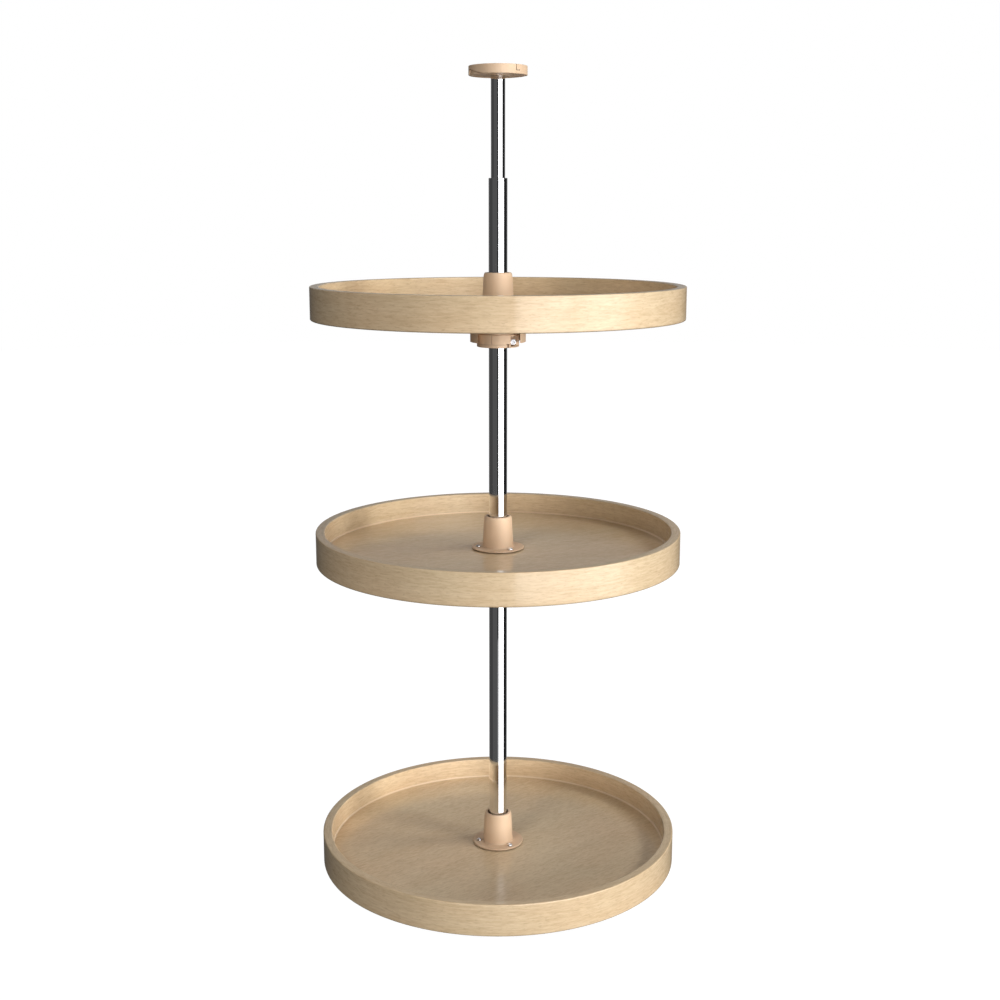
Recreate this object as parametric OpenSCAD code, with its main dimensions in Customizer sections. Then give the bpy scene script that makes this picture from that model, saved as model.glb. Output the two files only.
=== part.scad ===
// Three-tray turntable insert for a pantry cabinet: round wooden trays that turn and slide on a telescoping post.
// Millimetres, +Z up. The origin is on the post's axis, where the base meets the ground. The front is -Y.

/* [Trays] */
// Outside diameter of each tray
tray_d = 508; // [406:1:711]
// Height of the rim band
rim_h = 44.5; // [36:0.5:60]
// Thickness of the rim band
rim_t = 12.7; // [10:0.1:18]
// Radius of the rim's eased edges
rim_ease = 1.5; // [0.5:0.1:3]
// Depth of the rebate in the rim that the floor panel sits in
rebate_d = 6; // [3:0.5:8]
// Thickness of the floor panel
floor_t = 12.7; // [9:0.1:14.5]
// Height of the floor's top face above the rim's lower edge
floor_rise = 15; // [15:0.1:20]

/* [Heights] */
// Height of the middle tray above the bottom tray
middle_above_bottom = 442; // [400:1:520]
// Height of the top tray above the middle tray
top_above_middle = 336.5; // [320:0.5:450]
// Height of the lower tube's end above the top tray's lower edge
tube_above_top = 186; // [180:1:400]
// Height of the top mount's face above the lower tube's end
mount_above_tube = 143.5; // [143.5:0.5:240]
// Gap between the base and the lowest collar
base_gap = 1.6; // [1:0.1:20]

/* [Post] */
// Outside diameter of the lower tube
tube_d = 25.4; // [24:0.1:27]
// Wall of the lower tube
tube_wall = 1.6; // [1.2:0.1:1.8]
// Outside diameter of the upper tube
upper_d = 19.05; // [17:0.05:19.5]
// Wall of the upper tube
upper_wall = 1.2; // [0.8:0.1:1.6]
// Length of the upper tube inside the lower one
upper_insert = 200; // [180:5:300]
// Length of the guide bush in the lower tube's end
bush_l = 30; // [15:1:40]

/* [Hub] */
// Diameter of the hub's flange
flange_d = 73; // [68:1:80]
// Thickness of the hub's flange
flange_t = 3; // [2.5:0.5:5]
// Diameter of the hub's sleeve at its foot
sleeve_base_d = 43; // [40:0.5:43.5]
// Diameter of the sleeve where its shoulder starts
sleeve_shoulder_d = 40; // [37:0.5:40]
// Diameter of the sleeve's top face
sleeve_top_d = 35; // [33.5:0.5:36.5]
// Height of the sleeve above the floor
sleeve_h = 46.5; // [40:0.5:60]
// Height of the rounded shoulder
shoulder_h = 12; // [4:0.5:14]
// Diameter of the sleeve's mouth
mouth_d = 29.8; // [28.5:0.1:31]
// Length of the hub's bearing land on the post
land_l = 12; // [8:0.5:20]
// Diameter of the circle that the hub screws lie on
screw_pcd = 55.5; // [54:0.5:57.5]
// Number of hub screws
screw_count = 3; // [3:1:4]
// Bearing of the first hub screw
screw_az = -52; // [-60:1:-40]
// Shank diameter of a hub screw
screw_d = 4; // [3.5:0.1:4.2]

/* [Bearing cup] */
// Outside diameter of the cup
cup_d = 76; // [74:1:90]
// Wall of the cup
cup_wall = 3; // [2:0.5:3.5]
// Thickness of the cup's roof
cup_roof = 4; // [3:0.5:6]
// Depth of the cup below the floor panel
cup_depth = 34.3; // [28:0.1:36]
// Width of the access window in the cup's front
window_w = 57.2; // [50:0.1:60]
// Distance of the window's middle to the right of the post's axis
window_x = 1.3; // [0:0.1:2]
// Height of the screw bosses under the roof
boss_h = 7; // [4:0.5:9]

/* [Thrust bearing] */
// Diameter of a ball
ball_d = 5; // [4:0.1:6]
// Number of balls
ball_count = 14; // [8:1:16]
// Diameter of the circle that the balls run on
ball_pcd = 36.8; // [36:0.1:37.4]
// Outside diameter of a race
race_d = 45.2; // [44.5:0.1:46]
// Bore of a race
race_bore = 28.4; // [27:0.1:29.2]
// Thickness of a race
race_t = 2.4; // [2:0.1:4]
// Depth of the ball groove in a race
groove_d = 0.6; // [0.4:0.1:0.9]
// Thickness of the ball cage
cage_t = 2.4; // [1.5:0.1:2.6]

/* [Clamp collar] */
// Outside diameter of the clamp ring
clamp_d = 57.7; // [54:0.1:60]
// Height of the clamp ring
clamp_h = 17.5; // [16.5:0.1:26]
// Diameter of the pedestal that carries the bearing
pedestal_d = 49; // [48.5:0.5:50]
// Height of the pedestal
pedestal_h = 12.1; // [8:0.1:16]
// Width of the slit between the jaws
slit_w = 2; // [1:0.5:4]
// Bearing of the slit
slit_az = 2; // [-6:1:4]
// Thickness of each jaw under the screw
jaw_t = 4; // [3:0.5:5]
// Distance of the clamp screw from the post's axis
clamp_screw_r = 20.5; // [20:0.5:22.5]
// Height of the clamp screw above the ring's lower edge
clamp_screw_h = 6.4; // [6.2:0.1:9]
// Diameter of the clamp screw
clamp_screw_d = 5; // [4:0.5:5.5]
// Bearing of the moulded parting groove
parting_az = -107; // [-120:1:-95]

/* [Base] */
// Diameter of the base flange
base_d = 110; // [96:1:140]
// Thickness of the base flange
base_flange_t = 5; // [4:0.5:8]
// Height of the base socket
base_h = 22; // [18:0.5:40]
// Wall of the base socket
socket_wall = 7; // [4:0.5:9]
// Thickness of the socket's floor under the tube
socket_floor = 4; // [4:0.5:6]
// Diameter of the circle that the base's screw holes lie on
base_pcd = 84; // [78:1:88]
// Diameter of the base's screw holes
base_hole_d = 4.8; // [4:0.1:6]

/* [Top mount] */
// Diameter of the top mount
mount_d = 78; // [72:1:90]
// Height of the top mount
mount_h = 12; // [10:0.5:20]
// Wall of the mount's shell
mount_wall = 2.6; // [2:0.1:4]
// Thickness of the plate that closes the shell
plate_t = 3; // [3:0.1:4]
// Diameter of the circle that the plate's screw holes lie on
plate_pcd = 50; // [44:1:56]
// Diameter of the plate's screw holes
plate_hole_d = 4.6; // [4:0.1:5]
// Bearing of the first latch slit
latch_az = -52; // [-60:1:-40]
// Angle that a latch finger spans
latch_angle = 9; // [8:1:30]
// Bearing at which the first release ramp under the shell's wall is highest
ramp_az = -167; // [-175:1:-160]
// Slope of a release ramp, in degrees
ramp_slope = 14.5; // [8:0.5:15]

/* [Fits] */
// Radial running clearance of a turning or sliding fit
run_fit = 0.06; // [0.03:0.01:0.1]
// Radial clearance of a pressed or glued fit
seat_fit = 0.03; // [0.01:0.01:0.05]
// Radial clearance of a screw in its hole
screw_fit = 0.1; // [0.05:0.05:0.2]
// Clearance of a ball in its groove
ball_fit = 0.05; // [0.02:0.01:0.1]

/* [Hidden] */
$fn = 96;

tray_r = tray_d / 2;
rim_inner_r = tray_r - rim_t;
floor_r = rim_inner_r + rebate_d;
floor_under = floor_rise - floor_t;

tube_r = tube_d / 2;
tube_bore_r = tube_r - tube_wall;
upper_r = upper_d / 2;
upper_bore_r = upper_r - upper_wall;

ball_r = ball_d / 2;
race_seat = 0.8; // depth of the recess that centres a race
roof_under = floor_under - cup_roof;
upper_race_z = roof_under + race_seat - race_t;
groove_r = ball_r + ball_fit;
ball_z = upper_race_z + groove_d - groove_r;
lower_race_top = ball_z - groove_r + groove_d;
lower_race_z = lower_race_top - race_t;
pedestal_top = lower_race_z + race_seat;
clamp_top = pedestal_top - pedestal_h;
clamp_z = clamp_top - clamp_h;
clamp_axis_z = clamp_z + clamp_screw_h;

bottom_z = base_h + base_gap - clamp_z;
middle_z = bottom_z + middle_above_bottom;
top_z = middle_z + top_above_middle;
tube_top = top_z + tube_above_top;
mount_top = tube_top + mount_above_tube;
mount_z = mount_top - mount_h;

spigot_r = sleeve_base_d / 2;
screw_r = screw_d / 2;
screw_head_r = 1.9 * screw_r;
screw_head_h = 0.6 * screw_d;
screw_l = flange_t + floor_t + cup_roof + boss_h - 2;
boss_r = screw_r + 2.4;

clamp_head_r = 0.76 * clamp_screw_d;
clamp_head_h = 0.9 * clamp_screw_d;
clamp_head_gap = 0.4;
nut_flats = 1.6 * clamp_screw_d;
nut_t = 0.8 * clamp_screw_d;
jaw_face = slit_w / 2 + jaw_t;
notch_roof = 2;
notch_sill = 1.5;

upper_foot = tube_top - upper_insert;
plate_z = mount_top - plate_t;
plug_head_t = 2;
upper_top = plate_z - plug_head_t;
stud_flange_t = 3;
cone_h = 8;
cone_r = upper_bore_r;
stud_r = 4;
stud_l = 26;
stud_head_r = 7;
stud_head_h = 4;
sleeve_gap = 0.3; // room left above and below the expanding sleeve
foot_bolt_r = 3;
plug_l = 18;

TRAYS = [["top", top_z], ["middle", middle_z], ["bottom", bottom_z]];
TRAY_PIECES = ["rim", "floor", "hub", "hub_screws", "bearing_cup", "upper_race", "balls", "ball_cage",
               "lower_race", "clamp_collar", "clamp_screw", "clamp_nut"];
POST_PIECES = ["base_plate", "foot_plug", "foot_bolt", "lower_tube", "guide_bush", "lock_sleeve", "lock_stud",
               "upper_tube", "top_end_plug", "mount_shell", "mount_plate"];

wood = [0.86, 0.75, 0.58];
floor_wood = [0.72, 0.62, 0.47];
almond = [0.84, 0.70, 0.55];
chrome = [0.75, 0.76, 0.78];
steel = [0.60, 0.61, 0.63];
nylon = [0.92, 0.91, 0.86];

// Points of an arc round c, from angle a0 to a1
function arc(c, r, a0, a1, steps = 5) =
    [for (i = [0:steps]) let (a = a0 + (a1 - a0) * i / steps) c + r * [cos(a), sin(a)]];

// Points of a quarter ellipse from [r0, z0], upright, to [r1, z1], level
function shoulder(r0, z0, r1, z1, steps = 8) =
    [for (i = [0:steps]) let (a = 90 * i / steps) [r1 + (r0 - r1) * cos(a), z0 + (z1 - z0) * sin(a)]];

module ring(r_out, r_in, h) {
    difference() {
        cylinder(r = r_out, h = h);
        translate([0, 0, -1]) cylinder(r = r_in, h = h + 2);
    }
}

// Part of a ring between two bearings
module ring_sector(r_out, r_in, h, start, angle) {
    rotate([0, 0, start])
        rotate_extrude(angle = angle) translate([r_in, 0]) square([r_out - r_in, h]);
}

module around(count, first = 0) {
    for (i = [0:count - 1]) rotate([0, 0, first + i * 360 / count]) children();
}

module tube(r_out, r_in, z0, z1) {
    bevel = 0.3;
    rotate_extrude() polygon([
        [r_in, z0], [r_out - bevel, z0], [r_out, z0 + bevel], [r_out, z1 - bevel], [r_out - bevel, z1],
        [r_in, z1]]);
}

// ---- Tray ----

module rim() {
    color(wood) rotate_extrude($fn = 192) polygon(concat(
        [[floor_r, 0]],
        arc([tray_r - rim_ease, rim_ease], rim_ease, -90, 0),
        arc([tray_r - rim_ease, rim_h - rim_ease], rim_ease, 0, 90),
        arc([rim_inner_r + rim_ease, rim_h - rim_ease], rim_ease, 90, 180),
        [[rim_inner_r, floor_rise], [floor_r, floor_rise]]));
}

module floor_panel() {
    color(floor_wood) difference() {
        translate([0, 0, floor_under]) cylinder(r = floor_r - seat_fit, h = floor_t, $fn = 192);
        translate([0, 0, floor_under - 1]) cylinder(r = spigot_r + seat_fit, h = floor_t + 2);
        around(screw_count, screw_az) translate([screw_pcd / 2, 0, floor_under - 1])
            cylinder(r = screw_r + screw_fit, h = floor_t + 2, $fn = 32);
    }
}

module hub() {
    edge = 0.9;
    fillet = 2;
    lip = 0.5;
    relief_w = 2;
    relief_h = 0.8;
    flange_r = flange_d / 2;
    flange_top = floor_rise + flange_t;
    top = floor_rise + sleeve_h;
    land_top = floor_under + land_l;
    mouth_r = mouth_d / 2;
    land_r = tube_r + run_fit;
    color(almond) difference() {
        rotate_extrude() polygon(concat(
            [[land_r, floor_under], [spigot_r, floor_under], [spigot_r, floor_rise],
             [flange_r - relief_w, floor_rise], [flange_r - relief_w, floor_rise + relief_h],
             [flange_r, floor_rise + relief_h]],
            arc([flange_r - edge, flange_top - edge], edge, 0, 90),
            arc([spigot_r + fillet, flange_top + fillet], fillet, 270, 180),
            shoulder(sleeve_shoulder_d / 2, top - shoulder_h, sleeve_top_d / 2, top),
            [[mouth_r + lip, top], [mouth_r, top - lip], [mouth_r, land_top + mouth_r - land_r],
             [land_r, land_top]]));
        around(screw_count, screw_az) translate([screw_pcd / 2, 0, floor_rise - 1])
            cylinder(r = screw_r + screw_fit, h = flange_t + 2, $fn = 32);
    }
}

module hub_screws() {
    head_z = floor_rise + flange_t;
    color(chrome) around(screw_count, screw_az) translate([screw_pcd / 2, 0, 0]) difference() {
        union() {
            translate([0, 0, head_z - screw_l]) cylinder(r = screw_r, h = screw_l + 0.5, $fn = 32);
            translate([0, 0, head_z]) rotate_extrude($fn = 32) polygon(concat(
                [[0, 0]], shoulder(screw_head_r, 0.3 * screw_head_h, 0, screw_head_h, 6)));
        }
        for (a = [0, 90]) rotate([0, 0, a + 20])
            translate([-screw_head_r / 2, -0.45, head_z + screw_head_h - 1.2]) cube([screw_head_r, 0.9, 2]);
    }
}

module bearing_cup() {
    cup_r = cup_d / 2;
    edge = 0.8;
    lintel = 1.2; // wall left between the window and the roof
    window_h = cup_depth - cup_roof - lintel;
    wall_z = floor_under - cup_depth;
    color(almond) difference() {
        union() {
            difference() {
                rotate_extrude() polygon(concat(
                    [[cup_r - cup_wall, wall_z]],
                    arc([cup_r - edge, wall_z + edge], edge, -90, 0, 3),
                    [[cup_r, floor_under], [race_bore / 2, floor_under], [race_bore / 2, roof_under],
                     [cup_r - cup_wall, roof_under]]));
                translate([0, 0, wall_z - 1]) intersection() {
                    ring(cup_r + 1, cup_r - cup_wall - 1, window_h + 1);
                    translate([window_x - window_w / 2, -cup_d, -1]) cube([window_w, cup_d, window_h + 3]);
                }
            }
            around(screw_count, screw_az) translate([screw_pcd / 2, 0, roof_under - boss_h])
                cylinder(r = boss_r, h = boss_h + 1, $fn = 48);
        }
        translate([0, 0, roof_under - 1]) cylinder(r = race_d / 2 + seat_fit, h = race_seat + 1);
        around(screw_count, screw_az) translate([screw_pcd / 2, 0, roof_under - boss_h - 1])
            cylinder(r = screw_r + screw_fit, h = boss_h + cup_roof + 2, $fn = 32);
    }
}

// ---- Thrust bearing ----

module race(z) {
    color(steel) difference() {
        translate([0, 0, z]) ring(race_d / 2, race_bore / 2, race_t);
        rotate_extrude() translate([ball_pcd / 2, ball_z]) circle(r = groove_r, $fn = 48);
    }
}

module balls() {
    color(steel) around(ball_count) translate([ball_pcd / 2, 0, ball_z]) sphere(r = ball_r, $fn = 32);
}

module ball_cage() {
    margin = 1.2;
    pocket_r = ball_r + 0.15;
    color(nylon) translate([0, 0, ball_z - cage_t / 2]) difference() {
        ring(ball_pcd / 2 + pocket_r + margin, ball_pcd / 2 - pocket_r - margin / 2, cage_t);
        around(ball_count) translate([ball_pcd / 2, 0, -1]) cylinder(r = pocket_r, h = cage_t + 2, $fn = 48);
    }
}

// ---- Clamp collar ----

module clamp_collar() {
    clamp_r = clamp_d / 2;
    edge = 0.8;
    inner_wall = 3.5;
    outer_wall = 3;
    web_t = 3;
    pocket_count = 7;
    rib_angle = 6;
    cored_angle = 210; // the part of the ring away from the jaws that is cored out from below
    pocket_angle = (cored_angle - rib_angle * (pocket_count - 1)) / pocket_count;
    spanner_turn = 64.5; // from the slit back to the notch for a hook spanner
    spanner_w = 4.4;
    spanner_h = 5.5;
    spanner_depth = 3.4;
    line_z = 4.1;
    line_w = 0.6;
    line_depth = 0.5;
    parting_w = 0.8;
    color(almond) difference() {
        rotate_extrude() polygon(concat(
            [[tube_r + run_fit, clamp_z]],
            arc([clamp_r - edge, clamp_z + edge], edge, -90, 0, 3),
            arc([clamp_r - edge, clamp_top - edge], edge, 0, 90, 3),
            [[pedestal_d / 2, clamp_top], [pedestal_d / 2, pedestal_top], [race_d / 2 + seat_fit, pedestal_top],
             [race_d / 2 + seat_fit, lower_race_z], [tube_r + run_fit, lower_race_z]]));
        rotate([0, 0, slit_az]) {
            translate([0, -slit_w / 2, clamp_z - 1]) cube([clamp_r + 1, slit_w, clamp_h + pedestal_h + 2]);
            translate([clamp_screw_r, clamp_r, clamp_axis_z]) rotate([90, 0, 0])
                cylinder(r = clamp_screw_d / 2 + screw_fit, h = clamp_d, $fn = 32);
            translate([clamp_screw_r - clamp_head_r - clamp_head_gap, -jaw_face - clamp_r, clamp_z + notch_sill])
                cube([clamp_r, clamp_r, clamp_h - notch_sill - notch_roof]);
            translate([clamp_screw_r, jaw_face + clamp_r, clamp_axis_z]) rotate([90, 0, 0])
                cylinder(d = (nut_flats + 0.4) / cos(30), h = clamp_r, $fn = 6);
            for (i = [0:pocket_count - 1]) translate([0, 0, clamp_z - 1])
                ring_sector(clamp_r - outer_wall, tube_r + inner_wall, clamp_h - web_t + 1,
                            180 - cored_angle / 2 + i * (pocket_angle + rib_angle), pocket_angle);
        }
        translate([0, 0, clamp_z + line_z]) ring(clamp_r + 1, clamp_r - line_depth, line_w);
        rotate([0, 0, parting_az])
            translate([clamp_r - line_depth, -parting_w / 2, clamp_z + line_z]) cube([1, parting_w, clamp_h]);
        rotate([0, 0, slit_az - spanner_turn]) translate([clamp_r - spanner_depth, -spanner_w / 2, clamp_z - 1])
            cube([spanner_depth + 1, spanner_w, spanner_h + 1]);
    }
}

module clamp_screw() {
    shank_l = jaw_face * 2 + nut_t + 1;
    color(chrome) rotate([0, 0, slit_az]) translate([clamp_screw_r, -jaw_face, clamp_axis_z]) rotate([-90, 0, 0])
        difference() {
            union() {
                cylinder(r = clamp_screw_d / 2, h = shank_l, $fn = 32);
                translate([0, 0, -clamp_head_h]) cylinder(r = clamp_head_r, h = clamp_head_h, $fn = 48);
            }
            translate([0, 0, -clamp_head_h - 1]) cylinder(r = clamp_head_r * 0.55, h = 3.2, $fn = 6);
        }
}

module clamp_nut() {
    color(chrome) rotate([0, 0, slit_az]) translate([clamp_screw_r, jaw_face, clamp_axis_z]) rotate([-90, 0, 0])
        difference() {
            cylinder(d = nut_flats / cos(30), h = nut_t, $fn = 6);
            translate([0, 0, -1]) cylinder(r = clamp_screw_d / 2 + seat_fit, h = nut_t + 2, $fn = 32);
        }
}

// ---- Post ----

module base_plate() {
    base_r = base_d / 2;
    socket_r = tube_r + socket_wall;
    edge = 1.6;
    fillet = 6;
    core_in = socket_r - 1;
    core_out = base_pcd / 2 - base_hole_d - 1.5;
    rib_angle = 10;
    pocket_count = 6;
    core_h = base_flange_t - 2;
    color(almond) difference() {
        rotate_extrude() polygon(concat(
            [[0, 0], [base_r - 0.6, 0], [base_r, 0.6]],
            arc([base_r - edge, base_flange_t - edge], edge, 0, 90),
            arc([socket_r + fillet, base_flange_t + fillet], fillet, 270, 180),
            arc([socket_r - edge, base_h - edge], edge, 0, 90),
            [[0, base_h]]));
        translate([0, 0, socket_floor]) cylinder(r = tube_r + seat_fit, h = base_h);
        translate([0, 0, -1]) cylinder(r = foot_bolt_r + screw_fit, h = base_h, $fn = 32);
        translate([0, 0, -0.01]) cylinder(r1 = 2 * foot_bolt_r + 0.3, r2 = foot_bolt_r + screw_fit, h = 3.3, $fn = 48);
        around(4, 45) translate([base_pcd / 2, 0, 0]) {
            translate([0, 0, -1]) cylinder(r = base_hole_d / 2, h = base_flange_t + 2, $fn = 32);
            translate([0, 0, base_flange_t - 2.2]) cylinder(r1 = base_hole_d / 2, r2 = base_hole_d / 2 + 2.3, h = 2.3, $fn = 48);
        }
        around(pocket_count) translate([0, 0, -1])
            ring_sector(core_out, core_in, core_h + 1, 0, 360 / pocket_count - rib_angle);
    }
}

module foot_plug() {
    color(steel) difference() {
        translate([0, 0, socket_floor]) cylinder(r = tube_bore_r - seat_fit, h = plug_l);
        translate([0, 0, socket_floor - 1]) cylinder(r = foot_bolt_r + seat_fit, h = plug_l - 3, $fn = 32);
    }
}

module foot_bolt() {
    color(steel) difference() {
        union() {
            translate([0, 0, 0.3]) cylinder(r1 = 2 * foot_bolt_r, r2 = foot_bolt_r, h = 3, $fn = 48);
            translate([0, 0, 3]) cylinder(r = foot_bolt_r, h = plug_l - 5, $fn = 32);
        }
        translate([0, 0, -1]) cylinder(r = foot_bolt_r * 0.7, h = 3, $fn = 6);
    }
}

module lower_tube() {
    color(chrome) tube(tube_r, tube_bore_r, socket_floor, tube_top);
}

module guide_bush() {
    color(nylon) translate([0, 0, tube_top - bush_l - 0.5]) ring(tube_bore_r - seat_fit, upper_r + run_fit, bush_l);
}

module upper_tube() {
    color(chrome) tube(upper_r, upper_bore_r, upper_foot, upper_top);
}

// Stud fixed in the upper tube's foot: its cone spreads the sleeve when the tube is twisted
module lock_stud() {
    plug_r = upper_bore_r - seat_fit;
    flange_z = upper_foot - stud_flange_t;
    cone_z = flange_z - cone_h;
    foot_z = cone_z - stud_l;
    color(steel) rotate_extrude() polygon([
        [0, upper_foot + plug_l], [plug_r, upper_foot + plug_l], [plug_r, upper_foot], [upper_r - 0.3, upper_foot],
        [upper_r - 0.3, flange_z], [cone_r, flange_z], [stud_r, cone_z], [stud_r, foot_z], [stud_head_r, foot_z],
        [stud_head_r, foot_z - stud_head_h], [0, foot_z - stud_head_h]]);
}

// Split sleeve that the stud's cone spreads against the lower tube's bore
module lock_sleeve() {
    sleeve_r = tube_bore_r - run_fit;
    cone_z = upper_foot - stud_flange_t - cone_h;
    z0 = cone_z - stud_l + sleeve_gap;
    z1 = cone_z + cone_h - sleeve_gap;
    bore_r = stud_r + run_fit;
    mouth_r = cone_r + run_fit;
    split_w = 1.6;
    color(nylon) difference() {
        rotate_extrude() polygon([
            [bore_r, z0], [sleeve_r - 0.6, z0], [sleeve_r, z0 + 0.6], [sleeve_r, z1 - 0.6], [sleeve_r - 0.6, z1],
            [mouth_r, z1], [bore_r + sleeve_gap, cone_z], [bore_r, cone_z - sleeve_gap]]);
        around(3) translate([0, -split_w / 2, z0 + 6]) cube([tube_r, split_w, z1]);
    }
}

module top_end_plug() {
    color(nylon) rotate_extrude() polygon([
        [0, upper_top - plug_l], [upper_bore_r - seat_fit - 1, upper_top - plug_l],
        [upper_bore_r - seat_fit, upper_top - plug_l + 1], [upper_bore_r - seat_fit, upper_top],
        [upper_r, upper_top], [upper_r - 0.5, plate_z], [0, plate_z]]);
}

module mount_shell() {
    mount_r = mount_d / 2;
    inner_r = mount_r - mount_wall;
    edge = 0.9;
    ledge = 1.6;
    floor_h = 3;
    socket_h = 6.5;
    socket_r = upper_r + 3;
    slit = 0.8;
    slit_drop = 8;
    bead = 0.6;
    ramp_angle = 52;
    ramp_depth = 2;
    ramp_turn = 68; // angle from the ramp's high end back to the bearing towards which its plane rises
    ramp_mid = 4.4; // height of that plane on the post's axis
    color(almond) difference() {
        union() {
            rotate_extrude() polygon(concat(
                [[upper_r + run_fit, mount_z], [socket_r + 2, mount_z], [socket_r + 3, mount_z + 0.8],
                 [mount_r - 5.5, mount_z + 0.8], [mount_r - 4.7, mount_z]],
                arc([mount_r - edge, mount_z + edge], edge, -90, 0),
                arc([mount_r - edge / 2, mount_top - edge / 2], edge / 2, 0, 90, 3),
                [[inner_r, mount_top], [inner_r, plate_z], [inner_r - ledge, plate_z],
                 [inner_r - ledge, mount_z + floor_h], [socket_r, mount_z + floor_h],
                 [socket_r, mount_z + socket_h], [upper_r + run_fit, mount_z + socket_h]]));
            around(2, latch_az) translate([0, 0, plate_z + plate_t / 2 - 0.4])
                ring_sector(inner_r + 0.5, inner_r - bead, 0.8, latch_angle * 0.25, latch_angle * 0.5);
        }
        around(2, latch_az) translate([0, 0, mount_top - slit_drop]) {
            translate([inner_r - ledge - 1, -slit / 2, 0]) cube([mount_wall + ledge + 3, slit, slit_drop + 1]);
            ring_sector(mount_r + 1, inner_r - ledge - 1, slit, 0, latch_angle);
        }
        around(2, ramp_az) translate([0, 0, mount_z]) intersection() {
            translate([0, 0, -1]) ring_sector(mount_r + 1, mount_r - ramp_depth, mount_h, 0, ramp_angle);
            translate([0, 0, ramp_mid]) rotate([0, -ramp_slope, -ramp_turn])
                translate([-mount_d, -mount_d, -mount_d]) cube([2 * mount_d, 2 * mount_d, mount_d]);
        }
    }
}

module mount_plate() {
    plate_r = mount_d / 2 - mount_wall - 0.3;
    color(almond) difference() {
        translate([0, 0, plate_z]) cylinder(r = plate_r, h = plate_t);
        translate([0, 0, plate_z + plate_t / 2 - 0.7]) ring(plate_r + 1, plate_r - 0.6, 1.4);
        around(4, 45) translate([plate_pcd / 2, 0, plate_z]) {
            translate([0, 0, -1]) cylinder(r = plate_hole_d / 2, h = plate_t + 2, $fn = 32);
            translate([0, 0, -0.1]) cylinder(r1 = plate_hole_d / 2 + 2, r2 = plate_hole_d / 2, h = 2, $fn = 48);
        }
    }
}

base_plate();
foot_plug();
foot_bolt();
lower_tube();
guide_bush();
lock_sleeve();
lock_stud();
upper_tube();
top_end_plug();
mount_shell();
mount_plate();

for (t = TRAYS) translate([0, 0, t[1]]) {
    rim();
    floor_panel();
    hub();
    hub_screws();
    bearing_cup();
    race(upper_race_z);
    balls();
    ball_cage();
    race(lower_race_z);
    clamp_collar();
    clamp_screw();
    clamp_nut();
}
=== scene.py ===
import bmesh
import bpy
import math
import numpy as np
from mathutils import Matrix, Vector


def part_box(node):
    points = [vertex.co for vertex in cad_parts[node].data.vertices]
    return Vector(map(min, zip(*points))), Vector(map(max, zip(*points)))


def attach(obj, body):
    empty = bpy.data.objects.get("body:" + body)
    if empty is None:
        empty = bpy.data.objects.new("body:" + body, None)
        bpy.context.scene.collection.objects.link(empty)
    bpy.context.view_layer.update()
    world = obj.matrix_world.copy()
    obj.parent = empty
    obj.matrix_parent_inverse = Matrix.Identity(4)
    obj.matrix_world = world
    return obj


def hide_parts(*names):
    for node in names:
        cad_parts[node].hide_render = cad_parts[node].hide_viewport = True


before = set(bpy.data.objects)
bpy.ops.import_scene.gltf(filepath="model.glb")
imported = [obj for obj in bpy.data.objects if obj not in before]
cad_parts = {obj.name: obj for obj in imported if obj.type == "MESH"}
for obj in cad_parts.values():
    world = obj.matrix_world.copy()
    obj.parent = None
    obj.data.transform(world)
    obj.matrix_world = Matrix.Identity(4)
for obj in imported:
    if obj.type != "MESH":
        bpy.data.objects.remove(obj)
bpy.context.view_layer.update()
scene = bpy.context.scene
mm = 0.001
trayNames = ["top", "middle", "bottom"]


# outlines are drawn in millimetres as (r, z), anticlockwise with r to the right and z up, so that faces point out

clearance = 0.02  # millimetres between faces that would lie in one another
turns = {"tray": 480, "hub": 256, "tube": 192, "screw": 96}  # steps round each kind of turned piece
seamBearing = 90  # degrees, the back
sharpFrom = {"turned": 38.0, "copied": 30.0}  # degrees between faces, from which an edge stays sharp


def arcPoints(centreR, centreZ, radius, start, end, steps=8):
    # points at even angles on a circle: centre plus radius times the cosine and sine of the angle
    angle = np.radians(np.linspace(start, end, steps + 1))
    return np.column_stack([centreR + radius * np.cos(angle), centreZ + radius * np.sin(angle)])


def shoulderPoints(r0, z0, r1, z1, steps=20):
    # quarter ellipse from an upright tangent at (r0, z0) to a level one at (r1, z1)
    angle = np.radians(np.linspace(0, 90, steps + 1))
    return np.column_stack([r1 + (r0 - r1) * np.cos(angle), z0 + (z1 - z0) * np.sin(angle)])


def outline(*stretches, longest):
    # joins arcs and points into one closed outline, with its long straight stretches divided evenly
    starts = np.vstack([np.atleast_2d(np.asarray(s, float)) for s in stretches])
    ends = np.roll(starts, -1, axis=0)
    counts = np.maximum(1, np.ceil(np.linalg.norm(ends - starts, axis=1) / longest).astype(int))
    return np.vstack([a + (b - a) * np.linspace(0, 1, n, endpoint=False)[:, None]
                      for a, b, n in zip(starts, ends, counts)])


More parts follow.
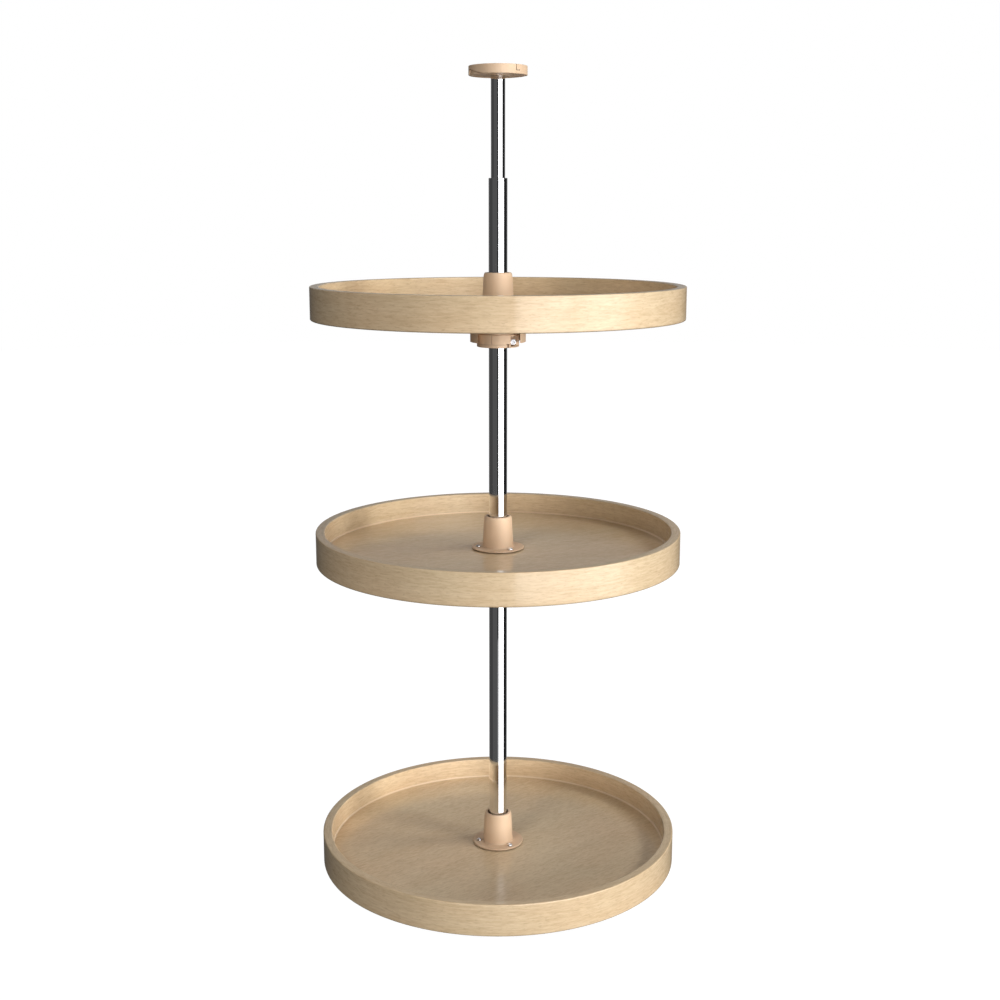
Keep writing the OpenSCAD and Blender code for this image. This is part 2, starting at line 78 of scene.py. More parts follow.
def gridMesh(name, points, u, v, closedOutline):
    # points[i, j] is outline point j at step i round the axis. Each cell of the grid is a face, the last step joins
    # the first, and a column that lies on the axis is one point, so its cells are triangles. u and v are the surface
    # coordinates in metres
    rows, columns = points.shape[:2]
    i, j = np.meshgrid(np.arange(rows), np.arange(columns if closedOutline else columns - 1), indexing="ij")
    cellTurn = np.stack([i, i + 1, i + 1, i], -1).reshape(-1, 4)
    cellColumn = np.stack([j, j, j + 1, j + 1], -1).reshape(-1, 4)
    index = np.arange(rows * columns).reshape(rows, columns)
    onAxis = np.hypot(points[..., 0], points[..., 1]).max(axis=0) < 1e-9
    index[:, onAxis] = index[:1, onAxis]
    corner = index[cellTurn % rows, cellColumn % columns]
    distinct = corner != np.roll(corner, 1, axis=1)
    used, loopVertex = np.unique(corner[distinct], return_inverse=True)
    sides = distinct.sum(axis=1)
    mesh = bpy.data.meshes.new(name)
    mesh.vertices.add(len(used))
    mesh.vertices.foreach_set("co", (points.reshape(-1, 3)[used] * mm).ravel())
    mesh.loops.add(len(loopVertex))
    mesh.loops.foreach_set("vertex_index", loopVertex.astype(np.int32))
    mesh.polygons.add(len(sides))
    mesh.polygons.foreach_set("loop_start", np.concatenate([[0], np.cumsum(sides)[:-1]]).astype(np.int32))
    mesh.update(calc_edges=True)
    layer = mesh.uv_layers.new(name="surface")
    layer.data.foreach_set("uv", np.stack([u[cellTurn], v[cellColumn]], -1)[distinct].ravel())
    mesh.validate()
    return mesh


def turned(name, profile, steps, closed=True, centre=(0, 0)):
    # surface of revolution: outline point (r, z) at angle a is (r cos a, r sin a, z). The profile is one outline, or
    # a function that gives r and z for a column of angles, so that the outline may change round the piece
    angle = np.radians(seamBearing + np.linspace(0, 360, steps + 1))
    r, z = profile(angle[:-1, None]) if callable(profile) else (profile[None, :, 0], profile[None, :, 1])
    r, z = (np.broadcast_to(a, (steps, max(r.shape[1], z.shape[1]))) for a in (r, z))
    points = np.stack([centre[0] + r * np.cos(angle[:-1, None]), centre[1] + r * np.sin(angle[:-1, None]), z], -1)
    last = np.column_stack([r[0], z[0]])
    lengths = np.linalg.norm(np.diff(np.vstack([last, last[:1]]) if closed else last, axis=0), axis=1)
    along = np.concatenate([[0], np.cumsum(lengths)]) * mm
    mesh = gridMesh(name, points, (angle - angle[0]) * r.max() * mm, along, closed)
    mesh.shade_smooth()
    mesh.set_sharp_from_angle(angle=math.radians(sharpFrom["turned"]))
    return mesh


def joined(name, meshes):
    # one mesh from several
    gathered = bmesh.new()
    for mesh in meshes:
        gathered.from_mesh(mesh)
    result = bpy.data.meshes.new(name)
    gathered.to_mesh(result)
    gathered.free()
    return result


weld = {"reach": 2e-6, "speck": 1e-6, "flat": 0.5}  # metres, metres and degrees
easing = {"segments": 2, "from": 40.0}  # the bevel's steps, and the degrees between faces from which it works


def finishedCopy(node, bevel):
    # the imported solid's own triangles, welded and with flat faces joined, as a new mesh whose edges a bevel eases
    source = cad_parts[node].data
    source.calc_loop_triangles()
    places = np.empty(len(source.vertices) * 3)
    source.vertices.foreach_get("co", places)
    corners = np.empty(len(source.loop_triangles) * 3, np.int32)
    source.loop_triangles.foreach_get("vertices", corners)
    mesh = bpy.data.meshes.new(node + "_finished")
    mesh.from_pydata(places.reshape(-1, 3), [], corners.reshape(-1, 3))
    welded = bmesh.new()
    welded.from_mesh(mesh)
    bmesh.ops.remove_doubles(welded, verts=welded.verts, dist=weld["reach"])
    bmesh.ops.dissolve_degenerate(welded, edges=welded.edges, dist=weld["speck"])
    bmesh.ops.dissolve_limit(welded, angle_limit=math.radians(weld["flat"]), verts=welded.verts, edges=welded.edges)
    welded.to_mesh(mesh)
    welded.free()
    mesh.shade_smooth()
    mesh.set_sharp_from_angle(angle=math.radians(sharpFrom["copied"]))
    return mesh, bevel


def place(name, mesh, material, body, slot, *nodes):
    # a finished piece: it rides on its body and stands for the nodes named. A copied mesh comes with its bevel
    mesh, bevelWidth = mesh if isinstance(mesh, tuple) else (mesh, 0.0)
    piece = bpy.data.objects.new(name, mesh)
    scene.collection.objects.link(piece)
    piece.data.materials.append(material)
    if bevelWidth:
        bevel = piece.modifiers.new("easedEdges", "BEVEL")
        bevel.width = bevelWidth * mm
        bevel.segments = easing["segments"]
        bevel.limit_method = "ANGLE"
        bevel.angle_limit = math.radians(easing["from"])
        bevel.harden_normals = True
    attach(piece, body)
    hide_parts(*nodes)


# materials: every colour is written as it would be read off a screen, 0 to 255

white = (1, 1, 1, 1)


def screenColour(red, green, blue):
    # screen levels turned into linear light, with full opacity
    level = np.array([red, green, blue]) / 255
    linear = np.where(level <= 0.04045, level / 12.92, ((level + 0.055) / 1.055) ** 2.4)
    return (*linear.tolist(), 1.0)


def addNode(tree, kind, values=None, links=None, **options):
    # one shader node: options are its settings, values its own numbers, links what feeds its sockets
    added = tree.nodes.new(kind)
    for key, value in options.items():
        setattr(added, key, value)
    for key, value in (values or {}).items():
        added.inputs[key].default_value = value
    for key, source in (links or {}).items():
        tree.links.new(source, added.inputs[key])
    return added


def newFinish(name, sockets):
    # a material with one Principled shader whose fixed numbers are set on its own sockets
    material = bpy.data.materials.new(name)
    material.use_nodes = True
    tree = material.node_tree
    tree.nodes.clear()
    shader = addNode(tree, "ShaderNodeBsdfPrincipled", sockets)
    addNode(tree, "ShaderNodeOutputMaterial", links={"Surface": shader.outputs["BSDF"]})
    return material, tree, shader


def stretchedNoise(tree, source, stretch, detail, roughness, distortion, turn=0.0, shift=(0, 0, 0)):
    # noise whose cells are 1 / stretch metres long each way, turned about Z and shifted
    turnedNode = addNode(tree, "ShaderNodeMapping", {"Rotation": (0, 0, math.radians(-turn)), "Location": shift},
                         {"Vector": source})
    mapping = addNode(tree, "ShaderNodeMapping", {"Scale": stretch}, {"Vector": turnedNode.outputs["Vector"]})
    noise = addNode(tree, "ShaderNodeTexNoise", {"Scale": 1.0, "Detail": detail, "Roughness": roughness,
                                                 "Distortion": distortion},
                    {"Vector": mapping.outputs["Vector"]}, noise_dimensions="3D", normalize=True)
    return noise.outputs["Fac"]


def ramp(tree, source, stops):
    # colour ramp whose stops are (place, colour)
    added = addNode(tree, "ShaderNodeValToRGB", links={"Fac": source})
    elements = added.color_ramp.elements
    while len(elements) < len(stops):
        elements.new(0.5)
    for element, (position, colour) in zip(elements, stops):
        element.position = position
        element.color = colour
    return added.outputs["Color"]


def mixColours(tree, factor, first, second, how="MIX"):
    # each of the three is a socket to link or a fixed value
    mix = addNode(tree, "ShaderNodeMix", data_type="RGBA", blend_type=how)
    for socket, value in ((mix.inputs[0], factor), (mix.inputs[6], first), (mix.inputs[7], second)):
        if isinstance(value, bpy.types.NodeSocket):
            tree.links.new(value, socket)
        else:
            socket.default_value = value
    return mix.outputs[2]


def remap(tree, source, low, high, newLow, newHigh):
    # the stretch from low to high laid on the one from newLow to newHigh, and held at its ends
    added = addNode(tree, "ShaderNodeMapRange", {"From Min": low, "From Max": high, "To Min": newLow,
                                                 "To Max": newHigh}, {"Value": source})
    return added.outputs["Result"]


noiseEnds = (0.3, 0.7)  # between these lies nearly all of a noise


def finishSurface(tree, shader, colour, sheenNoise, levels, height, relief, depth):
    # gives the shader its colour, a roughness that follows a noise from one level to the other, and its relief
    tree.links.new(colour, shader.inputs["Base Color"])
    tree.links.new(remap(tree, sheenNoise, *noiseEnds, *levels), shader.inputs["Roughness"])
    bump = addNode(tree, "ShaderNodeBump", {"Strength": relief, "Distance": depth}, {"Height": height})
    tree.links.new(bump.outputs["Normal"], shader.inputs["Normal"])


def twoTones(tree, source, low, high, ends=noiseEnds):
    return ramp(tree, source, [(ends[0], screenColour(*low)), (ends[1], screenColour(*high))])


woodNoise = {"bands": (3, 0.5, 0.6), "streaks": (5, 0.62, 0.35), "pores": (2, 0.5, 0.2),
             "cloud": (2, 0.5, 0.0)}  # detail, roughness and distortion
lacquer = {"woodIndex": 1.45, "coatIndex": 1.5, "streakStops": (0.30, 0.50, 0.72), "bandStops": (0.35, 0.65),
           "poreSoftness": 0.08, "poreDepth": 0.5, "reliefDepth": 0.0004}


def woodFinish(name, look, surface, turn, shift):
    # maple veneer under a satin lacquer: broad bands, fine streaks and short dark pores, all drawn out along the
    # grain, and painted shade that darkens a band's lower edge. `surface` is the coordinate output that the grain lies
    # in
    material, tree, shader = newFinish(name, {
        "Coat Weight": look["coat"], "Coat Roughness": look["coatRoughness"], "Specular IOR Level": look["sheen"],
        "IOR": lacquer["woodIndex"], "Coat IOR": lacquer["coatIndex"]})
    source = addNode(tree, "ShaderNodeTexCoord").outputs[surface]
    bands, streaks, pores, cloud = (stretchedNoise(tree, source, look[kind], *woodNoise[kind], turn, shift)
                                    for kind in ("bands", "streaks", "pores", "cloud"))
    colour = ramp(tree, streaks, [(stop, screenColour(*look[tone]))
                                  for stop, tone in zip(lacquer["streakStops"], ("dark", "middle", "light"))])
    bandTint = twoTones(tree, bands, look["bandDark"], (255, 255, 255), lacquer["bandStops"])
    colour = mixColours(tree, look["bandShare"], colour, bandTint, "MULTIPLY")
    cloudTint = twoTones(tree, cloud, look["cloudWarm"], look["cloudCool"])
    colour = mixColours(tree, look["cloudShare"], colour, cloudTint, "MULTIPLY")
    poreMask = remap(tree, pores, look["poreFrom"], look["poreFrom"] + lacquer["poreSoftness"], 0.0, look["poreShare"])
    colour = mixColours(tree, poreMask, colour, screenColour(*look["pore"]))
    # painted shade: the band's eased lower edge, where shade falls, is multiplied towards a grey
    if look["edge"]:
        across = addNode(tree, "ShaderNodeSeparateXYZ", links={0: source}).outputs["Y"]
        paintedEdgeShadeMask = remap(tree, across, *look["edge"], 1.0, 0.0)
        colour = mixColours(tree, paintedEdgeShadeMask, colour, screenColour(*look["paintedEdgeShadeTone"]), "MULTIPLY")
    height = mixColours(tree, lacquer["poreDepth"], streaks, pores)
    finishSurface(tree, shader, colour, streaks, (look["roughest"], look["smoothest"]), height, look["relief"],
                  lacquer["reliefDepth"])
    return material


# the ambient occlusion entries (ends and samples) shape the painted shade in gaps and corners
moulding = {"index": 1.5, "coatRoughness": 0.12, "glowReach": (1.0, 0.6, 0.35), "glowScale": 0.0015,
            "flow": ((38, 38, 22), 2, 0.5, 0.8), "grain": ((900, 900, 900), 3, 0.6, 0.0), "paintedShadeEnds": (0.15, 0.85),
            "paintedShadeSamples": 8, "reliefDepth": 0.00012}


def plasticFinish(name, look):
    # moulded plastic: nearly even colour, a slow change of tone, a very fine grain from the mould, and painted shade
    # that darkens gaps and corners by how little of the near space round a point is open
    material, tree, shader = newFinish(name, {
        "Coat Weight": look["coat"], "Coat Roughness": moulding["coatRoughness"], "IOR": moulding["index"],
        "Subsurface Weight": look["depth"], "Subsurface Radius": moulding["glowReach"],
        "Subsurface Scale": moulding["glowScale"]})
    source = addNode(tree, "ShaderNodeTexCoord").outputs["Object"]
    flow = stretchedNoise(tree, source, *moulding["flow"])
    grain = stretchedNoise(tree, source, *moulding["grain"])
    tint = twoTones(tree, flow, look["shade"], look["colour"])
    # painted shade: an ambient occlusion node pulls gaps and corners towards a dark brown
    if look["paintedShadeShare"]:
        openness = addNode(tree, "ShaderNodeAmbientOcclusion", {"Distance": look["paintedShadeReach"]},
                           samples=moulding["paintedShadeSamples"]).outputs["AO"]
        paintedShadeMask = remap(tree, openness, *moulding["paintedShadeEnds"], look["paintedShadeShare"], 0.0)
        tint = mixColours(tree, paintedShadeMask, tint, screenColour(*look["paintedShade"]))
    finishSurface(tree, shader, tint, grain, (look["smooth"], look["rough"]), grain, look["relief"],
                  moulding["reliefDepth"])
    return material


plating = {"cloud": (3, 0.5, 0.4), "lines": (2, 0.5, 0.0), "reliefDepth": 0.00005}


def metalFinish(name, look):
    # plated or ground metal: a mirror with faint cloudiness and, on ground steel, fine turned lines
    material, tree, shader = newFinish(name, {"Metallic": 1.0})
    source = addNode(tree, "ShaderNodeTexCoord").outputs["Object"]
    cloud = stretchedNoise(tree, source, look["cloud"], *plating["cloud"])
    lines = stretchedNoise(tree, source, look["lines"], *plating["lines"])
    tint = twoTones(tree, cloud, look["shade"], look["colour"])
    finishSurface(tree, shader, tint, cloud, (look["smooth"], look["rough"]), lines, look["relief"],
                  plating["reliefDepth"])
    return material


# the band look's last two entries paint shade along the band's lower edge
bandLook = {
    "dark": (214, 187, 153), "middle": (228, 203, 169), "light": (238, 215, 183), "pore": (186, 157, 121),
    "bandDark": (238, 232, 222), "bandShare": 0.45, "cloudWarm": (255, 247, 236), "cloudCool": (247, 250, 244),
    "cloudShare": 0.6, "bands": (4, 90, 1), "streaks": (62, 430, 1), "pores": (140, 600, 1), "cloud": (5, 9, 1),
    "poreFrom": 0.6, "poreShare": 0.36, "sheen": 0.3, "coat": 1.0, "coatRoughness": 0.16, "roughest": 0.62,
    "smoothest": 0.5, "relief": 0.12, "edge": (0.0052, 0.0082), "paintedEdgeShadeTone": (150, 146, 142)}
floorLook = dict(bandLook, bands=(4, 26, 1), streaks=(95, 380, 1), pores=(120, 500, 1), cloud=(7, 9, 1),
                 poreFrom=0.6, poreShare=0.28, coatRoughness=0.2, edge=None)
# the last three entries of the plastic look set the painted shade in gaps and corners
plasticLook = {"colour": (222, 192, 161), "shade": (217, 187, 156), "coat": 0.0, "depth": 0.05, "smooth": 0.42,
               "rough": 0.52, "relief": 0.1, "paintedShade": (92, 66, 42), "paintedShadeShare": 0.8, "paintedShadeReach": 0.003}
nylonLook = {"colour": (238, 236, 226), "shade": (230, 228, 218), "coat": 0.05, "depth": 0.1, "smooth": 0.35,
             "rough": 0.5, "relief": 0.1, "paintedShadeShare": 0.0}
# the bead's finish is paler than the wood: a painted highlight line at the foot of the wall
beadHighlightLook = {"colour": (238, 214, 182), "shade": (233, 208, 176), "coat": 0.4, "depth": 0.0, "smooth": 0.3,
              "rough": 0.4, "relief": 0.1, "paintedShadeShare": 0.0}
chromeLook = {"colour": (250, 250, 251), "shade": (247, 248, 250), "cloud": (60, 60, 12), "lines": (40, 40, 30),
              "smooth": 0.04, "rough": 0.055, "relief": 0.0}
steelLook = {"colour": (205, 207, 210), "shade": (186, 188, 192), "cloud": (180, 180, 180),
             "lines": (120, 120, 2400), "smooth": 0.16, "rough": 0.28, "relief": 0.15}
screwLook = {"colour": (240, 240, 242), "shade": (226, 227, 231), "cloud": (300, 300, 300), "lines": (700, 700, 700),
             "smooth": 0.22, "rough": 0.3, "relief": 0.05}

plastic = plasticFinish("almondPlastic", plasticLook)
nylon = plasticFinish("whiteNylon", nylonLook)
beadHighlight = plasticFinish("paintedHighlightBead", beadHighlightLook)
chrome = metalFinish("chromeTube", chromeLook)
steel = metalFinish("bearingSteel", steelLook)
screwChrome = metalFinish("screwChrome", screwLook)
grainTurn = {"top": 62.0, "middle": 24.0, "bottom": 38.0}  # bearing of each floor's grain
grainShift = {"top": (3.1, 1.7, 0.4), "middle": (7.7, 4.2, 1.9), "bottom": (0.6, 9.3, 3.3)}
bandWood = {t: woodFinish(t + "BandWood", bandLook, "UV", 0.0, grainShift[t]) for t in trayNames}
floorWood = {t: woodFinish(t + "FloorWood", floorLook, "Object", grainTurn[t], grainShift[t]) for t in trayNames}

finishOfSlot = {"almond_plastic": plastic, "white_nylon": nylon, "chrome_tube": chrome, "bearing_steel": steel,
                "screw_chrome": screwChrome}
for name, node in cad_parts.items():
    slotName = node.data.materials[0].name
    tray = name.split("_")[0]
    woods = {"wood_band": bandWood, "wood_floor": floorWood}.get(slotName)
    node.material_slots[0].material = woods[tray] if woods else finishOfSlot[slotName]
print("finishes made:", len(bpy.data.materials))


# trays

rimSize = {"outer": 254.0, "inner": 241.3, "height": 44.5, "ease": 1.5, "rebate": 247.3, "floorTop": 15.0,
           "bead": 1.9}


def rimOutline(z):
    # eased band with a rebate for the floor panel
    s = rimSize
    top, ease = z + s["height"], s["ease"]
    return outline(
        [[s["rebate"], z]],
        arcPoints(s["outer"] - ease, z + ease, ease, -90, 0),
        arcPoints(s["outer"] - ease, top - ease, ease, 0, 90),
        arcPoints(s["inner"] + ease, top - ease, ease, 90, 180),
        [[s["inner"], z + s["floorTop"] + clearance], [s["rebate"], z + s["floorTop"] + clearance]],
        longest=3.0)


def beadOutline(z):
    # a hollow quarter circle in the corner where the wall meets the floor, finished paler than the wood as a painted
    # highlight line
    s = rimSize
    low, bead = z + s["floorTop"] + clearance, s["bead"]
    return outline(arcPoints(s["inner"] - bead, low + bead, bead, -90, 0), [[s["inner"] + clearance, low]],
                   longest=3.0)


floorSize = {"radius": 247.2, "hole": 21.6, "under": 2.3, "top": 15.0, "chamfer": 0.4}


def floorOutline(z):
    # flat panel with a hole for the hub's spigot and slightly broken edges
    s = floorSize
    low, high, c = z + s["under"], z + s["top"], s["chamfer"]
    return outline([[s["hole"] + c, low], [s["radius"] - c, low], [s["radius"], low + c], [s["radius"], high - c],
                    [s["radius"] - c, high], [s["hole"] + c, high], [s["hole"], high - c], [s["hole"], low + c]],
                   longest=12.0)


hubSize = {"flange": 36.5, "flangeTop": 18.0, "edge": 0.9, "floorTop": 15.0, "under": 2.3, "spigot": 21.5,
           "relief": (5.0, 1.5), "fillet": 2.0, "shoulderR": 20.0, "shoulderZ": 49.5, "topR": 17.5, "top": 61.5,
           "mouth": 14.9, "lip": 0.5, "land": 12.77, "landTop": 14.3}


def hubOutline(z):
    # flange with a relief under its edge, fillet, tapered sleeve with a rounded shoulder, rounded lip, and a mouth
    # down to the bearing land
    s = hubSize
    lip = s["lip"]
    reliefW, reliefH = s["relief"]
    return outline(
        [[s["land"], z + s["under"]], [s["spigot"], z + s["under"]], [s["spigot"], z + s["floorTop"]],
         [s["flange"] - reliefW, z + s["floorTop"]], [s["flange"] - reliefW, z + s["floorTop"] + reliefH],
         [s["flange"], z + s["floorTop"] + reliefH]],
        arcPoints(s["flange"] - s["edge"], z + s["flangeTop"] - s["edge"], s["edge"], 0, 90),
        arcPoints(s["spigot"] + s["fillet"], z + s["flangeTop"] + s["fillet"], s["fillet"], 270, 180),
        shoulderPoints(s["shoulderR"], z + s["shoulderZ"], s["topR"], z + s["top"]),
        arcPoints(s["mouth"] + lip, z + s["top"] - lip, lip, 90, 180),
        [[s["mouth"], z + s["landTop"] + s["mouth"] - s["land"]], [s["land"], z + s["landTop"]]],
        longest=3.0)


screwSize = {"circle": 27.75, "count": 3, "first": -52.0, "headR": 3.8, "headH": 2.4, "headRim": (0.3, 0.7),
             "headChamfer": 0.25, "seat": 18.0, "shankR": 2.0, "foot": -6.7, "tip": 0.4, "crossR": 2.4,
             "slotHalf": 0.42, "slotWall": 0.12, "slotReach": 2.1, "slotFade": 0.7, "slotDeep": 1.3, "slotTurn": 20.0,
             "rings": (10, 40)}


def screwMesh(z, number):
    # pan head on a shank. The head is a half ellipse; inside the cross, where either of two crossed bars passes, it
    # is sunk by a smooth step whose depth fades towards the bars' ends
    s = screwSize
    base, foot, tip, shankR, headR = z + s["seat"], z + s["foot"], s["tip"], s["shankR"], s["headR"]
    rimLow, rimHigh = s["headRim"]
    rings = np.concatenate([np.linspace(headR, s["crossR"], s["rings"][0])[:-1],
                            np.linspace(s["crossR"], 0, s["rings"][1])])
    skirt = np.array([[0, foot], [shankR - tip, foot], [shankR, foot + tip], [shankR, base + clearance],
                      [headR - s["headChamfer"], base + clearance], [headR, base + rimLow]])

    def profile(angle):
        dome = base + rimHigh + (s["headH"] - rimHigh) * np.sqrt(np.clip(1 - (rings / headR) ** 2, 0, 1))
        turn = math.radians(s["slotTurn"] + 360 * number / s["count"])
        x, y = np.abs(rings * np.cos(angle - turn)), np.abs(rings * np.sin(angle - turn))
        narrow, wide = np.minimum(x, y), np.maximum(x, y)
        wall = np.clip((s["slotHalf"] - narrow) / s["slotWall"] + 0.5, 0, 1)
        end = np.clip((s["slotReach"] - wide) / s["slotFade"], 0, 1)
        r = np.concatenate([skirt[:, 0], rings])[None, :]
        zs = np.concatenate([np.broadcast_to(skirt[:, 1], (len(angle), len(skirt))),
                             dome - s["slotDeep"] * wall * end], axis=1)
        return r, zs

    bearing = math.radians(s["first"] + 360 * number / s["count"])
    return turned("screw", profile, turns["screw"], closed=False,
                  centre=(s["circle"] * math.cos(bearing), s["circle"] * math.sin(bearing)))


copyBevel = {"cup": 0.35, "collar": 0.1, "mountCap": 0.3, "foot": 0.4}  # millimetres


trayLevel = {t: round(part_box(t + "_rim")[0].z / mm, 2) for t in trayNames}
for t in trayNames:
    z = trayLevel[t]
    body = t + "_tray"
    place(t + "_band", turned(t + "_band", rimOutline(z), turns["tray"]), bandWood[t], body, "wood_band", t + "_rim")
    place(t + "_bead", turned(t + "_bead", beadOutline(z), turns["tray"]), beadHighlight, body, "wood_band")
    place(t + "_panel", turned(t + "_panel", floorOutline(z), turns["tray"]), floorWood[t], body, "wood_floor",
          t + "_floor")
    place(t + "_sleeve", turned(t + "_sleeve", hubOutline(z), turns["hub"]), plastic, body, "almond_plastic",
          t + "_hub")
    place(t + "_screws", joined(t + "_screws", [screwMesh(z, n) for n in range(screwSize["count"])]), screwChrome,
          body, "screw_chrome", t + "_hub_screws")
    place(t + "_cup", finishedCopy(t + "_bearing_cup", copyBevel["cup"]), plastic, body, "almond_plastic",
          t + "_bearing_cup")
    place(t + "_collar", finishedCopy(t + "_clamp_collar", copyBevel["collar"]), plastic, t + "_collar",
          "almond_plastic", t + "_clamp_collar")
print("trays made at", trayLevel)


# post and mounts

tubeSize = {"lowerR": 12.7, "lowerBore": 11.1, "upperR": 9.525, "upperBore": 8.325, "lip": 0.5}


def tubeOutline(outer, bore, low, high):
    # wall of a tube whose ends are rounded
    lip = min(tubeSize["lip"], (outer - bore) / 2)
    return outline([[bore, low], [outer - lip, low]], arcPoints(outer - lip, low + lip, lip, -90, 0, 4)[1:],
                   arcPoints(outer - lip, high - lip, lip, 0, 90, 6),
                   arcPoints(bore + lip, high - lip, lip, 90, 180, 6), longest=40.0)


lowerBox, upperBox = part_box("lower_tube"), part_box("upper_tube")
lowerWall = tubeOutline(tubeSize["lowerR"], tubeSize["lowerBore"], lowerBox[0].z / mm, lowerBox[1].z / mm)
upperWall = tubeOutline(tubeSize["upperR"], tubeSize["upperBore"], upperBox[0].z / mm, upperBox[1].z / mm)
place("post_lower", turned("post_lower", lowerWall, turns["tube"]), chrome, "root", "chrome_tube", "lower_tube")
place("post_upper", turned("post_upper", upperWall, turns["tube"]), chrome, "upper_post", "chrome_tube", "upper_tube")
place("mount_cap", finishedCopy("mount_shell", copyBevel["mountCap"]), plastic, "top_mount", "almond_plastic",
      "mount_shell")
place("foot", finishedCopy("base_plate", copyBevel["foot"]), plastic, "root", "almond_plastic", "base_plate")
print("post made")


# camera: fitted to the outlines of the three rims in a picture of 1000 by 1000

view = {"away": 1.929, "height": 0.98185, "pitch": 11.545, "focalPixels": 1409.0, "pictureSize": 1000,
        "axisPixel": 498.0, "sensor": 36}
cameraData = bpy.data.cameras.new("camera")
cameraData.sensor_width = view["sensor"]
cameraData.lens = view["focalPixels"] / view["pictureSize"] * cameraData.sensor_width
cameraData.shift_x = (view["pictureSize"] / 2 - view["axisPixel"]) / view["pictureSize"]
camera = bpy.data.objects.new("camera", cameraData)
camera.location = (0, -view["away"], view["height"])
camera.rotation_euler = (math.radians(90 - view["pitch"]), 0, 0)
scene.collection.objects.link(camera)
scene.camera = camera


# studio: a white room, square lamps low at the front and higher round the sides, and cards, dark and bright, that
# only reflections see

def rayMix(tree, seen, lit):
    # `seen` for rays from the camera and for what metal or glass shows, `lit` for the light itself
    path = addNode(tree, "ShaderNodeLightPath").outputs
    shown = path["Is Camera Ray"]
    for ray in ("Is Glossy Ray", "Is Transmission Ray"):
        shown = addNode(tree, "ShaderNodeMath", links={0: shown, 1: path[ray]}, operation="MAXIMUM").outputs[0]
    return addNode(tree, "ShaderNodeMixShader", links={0: shown, 1: lit, 2: seen}).outputs[0]


studio = {"room": 0.046, "floorSeen": 0.985, "floorColour": 0.14, "floorRadius": 9.0, "floorStep": 5}

world = bpy.data.worlds.new("room")
scene.world = world
world.use_nodes = True
world.node_tree.nodes.clear()
whiteRoom = addNode(world.node_tree, "ShaderNodeBackground", {"Color": white, "Strength": 1.0})
softRoom = addNode(world.node_tree, "ShaderNodeBackground", {"Color": white, "Strength": studio["room"]})
addNode(world.node_tree, "ShaderNodeOutputWorld", links={
    "Surface": rayMix(world.node_tree, whiteRoom.outputs[0], softRoom.outputs[0])})
world.cycles.sampling_method = "NONE"

floorMaterial = bpy.data.materials.new("studioFloor")
floorMaterial.use_nodes = True
floorTree = floorMaterial.node_tree
floorTree.nodes.clear()
matt = addNode(floorTree, "ShaderNodeBsdfDiffuse", {"Color": (studio["floorColour"],) * 3 + (1,)})
glow = addNode(floorTree, "ShaderNodeEmission", {"Color": white, "Strength": studio["floorSeen"]})
both = addNode(floorTree, "ShaderNodeAddShader", links={0: matt.outputs[0], 1: glow.outputs[0]})
addNode(floorTree, "ShaderNodeOutputMaterial", links={"Surface": rayMix(floorTree, both.outputs[0], matt.outputs[0])})


def stageMesh(name, points, faces, material):
    mesh = bpy.data.meshes.new(name)
    mesh.from_pydata(points, [], faces)
    mesh.materials.append(material)
    added = bpy.data.objects.new(name, mesh)
    scene.collection.objects.link(added)
    return added


angles = np.radians(np.arange(0, 360, studio["floorStep"]))
reach = studio["floorRadius"]
stageMesh("studioFloor", np.column_stack([reach * np.cos(angles), reach * np.sin(angles), 0 * angles]),
          [list(range(len(angles)))], floorMaterial)

dark = [[0.07, 0.004], [0.62, 0.004], [0.62, 1.7], [0.3, 2.4]]
tall = [[2.0, 0.0], [2.0, 2.6]]
cards = {  # bearing from and to, counted from the camera to its right, level, and (distance, height) of its outline
    "leftCard": (-140.0, -70.0, 0.052, dark),
    "leftFrontCard": (-70.0, -6.0, 0.08, dark),
    "middleCard": (-6.0, 8.0, 0.006, [[0.62, 0.2], [0.62, 1.7], [0.3, 2.4]]),
    "middleLowCard": (-6.0, 8.0, 0.24, [[0.07, 0.004], [0.62, 0.004], [0.62, 0.2]]),
    "lowCard": (8.0, 72.0, 0.02, [[0.07, 0.004], [1.95, 0.004]]),
    "softBox": (8.0, 41.0, 3.7, tall),
    "keyBox": (43.5, 74.0, 3.2, tall),
    "lowPostBox": (8.5, 67.0, 2.0, [[0.05, 0.02], [0.05, 0.79]]),
    "highPostBox": (8.5, 67.0, 2.0, [[0.05, 0.875], [0.05, 1.157]]),
    "rightCard": (72.0, 140.0, 0.016, dark),
    "backCard": (140.0, 220.0, 0.3, dark)}
cardSteps = 40

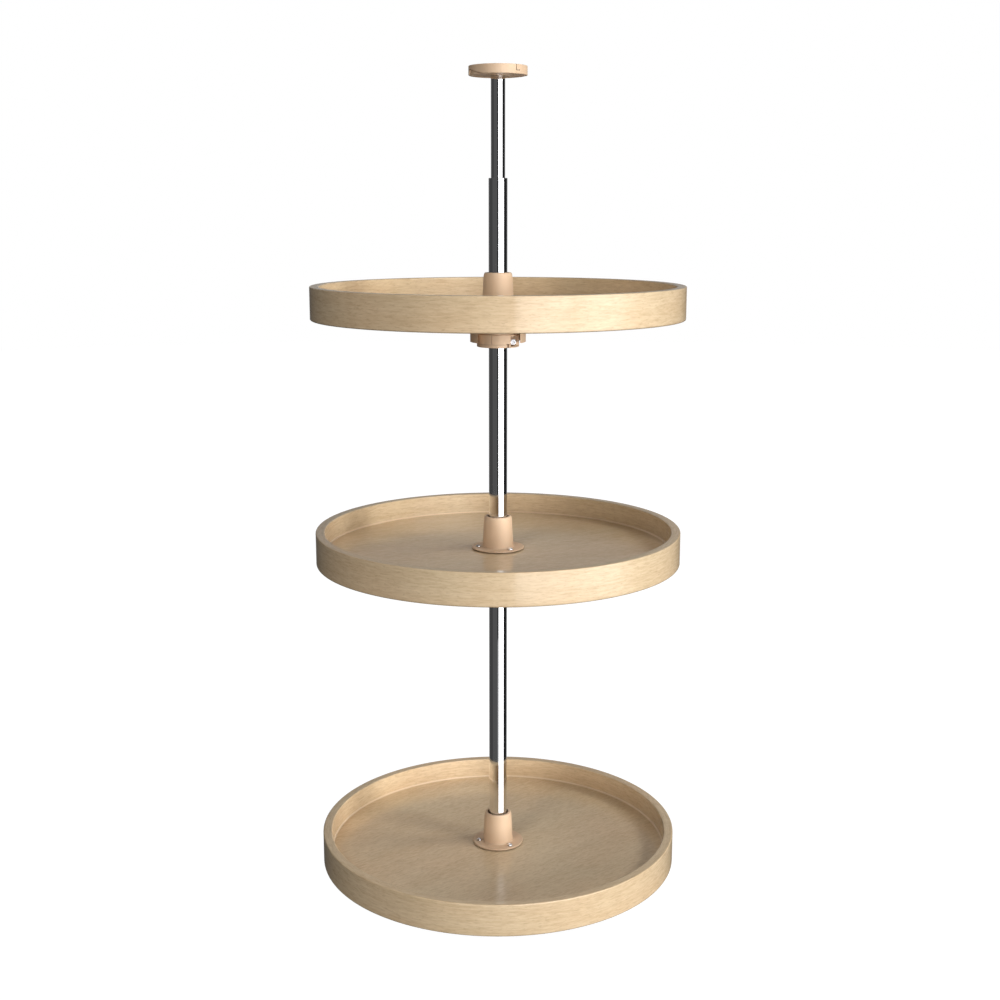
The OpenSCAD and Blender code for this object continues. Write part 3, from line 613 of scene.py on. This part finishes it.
for name, (start, end, level, section) in cards.items():
    # the outline carried round an arc. It shines towards the post and is clear from outside
    shade = bpy.data.materials.new(name)
    shade.use_nodes = True
    shade.node_tree.nodes.clear()
    tone = addNode(shade.node_tree, "ShaderNodeEmission", {"Color": white, "Strength": level})
    clear = addNode(shade.node_tree, "ShaderNodeBsdfTransparent")
    side = addNode(shade.node_tree, "ShaderNodeNewGeometry").outputs["Backfacing"]
    inward = addNode(shade.node_tree, "ShaderNodeMixShader", links={0: side, 1: tone.outputs[0], 2: clear.outputs[0]})
    addNode(shade.node_tree, "ShaderNodeOutputMaterial", links={"Surface": inward.outputs[0]})
    section, count = np.array(section), len(section)
    bearing = np.radians(np.linspace(start, end, cardSteps + 1) - 90)
    points = np.stack([section[:, 0] * np.cos(bearing[:, None]), section[:, 0] * np.sin(bearing[:, None]),
                       np.broadcast_to(section[:, 1], (cardSteps + 1, count))], -1).reshape(-1, 3)
    i, j = (a.ravel() for a in np.meshgrid(np.arange(cardSteps), np.arange(count - 1), indexing="ij"))
    corner = i * count + j
    faces = np.stack([corner, corner + 1, corner + count + 1, corner + count], -1).tolist()
    card = stageMesh(name, points, faces, shade)
    card.visible_camera = card.visible_diffuse = card.visible_shadow = card.visible_transmission = False
    card.visible_volume_scatter = False

lamps = {  # bearing from the camera to its right, rise in degrees and power
    "keyLamp": (60.0, 4.0, 640.0), "frontLamp": (0.0, 4.0, 250.0), "nearLamp": (30.0, 4.0, 220.0),
    "leftLamp": (-30.0, 38.0, 190.0), "highLamp": (60.0, 38.0, 110.0), "sideLamp": (90.0, 38.0, 220.0),
    "backLamp": (180.0, 38.0, 140.0)}
lampShape = {"away": 10.0, "size": 2.5, "aim": 0.5}

for name, (bearing, rise, power) in lamps.items():
    # square lamps at one distance, turned to a point on the post. Reflections see the cards in their place
    data = bpy.data.lights.new(name, "AREA")
    data.shape = "SQUARE"
    data.size = lampShape["size"]
    data.energy = power
    light = bpy.data.objects.new(name, data)
    bearing, rise, away = math.radians(bearing - 90), math.radians(rise), lampShape["away"]
    light.location = (away * math.cos(rise) * math.cos(bearing), away * math.cos(rise) * math.sin(bearing),
                      lampShape["aim"] + away * math.sin(rise))
    light.rotation_euler = (math.radians(90) - rise, 0, bearing + math.radians(90))
    light.visible_glossy = False
    scene.collection.objects.link(light)

scene.view_settings.view_transform = "Standard"
print("studio made")
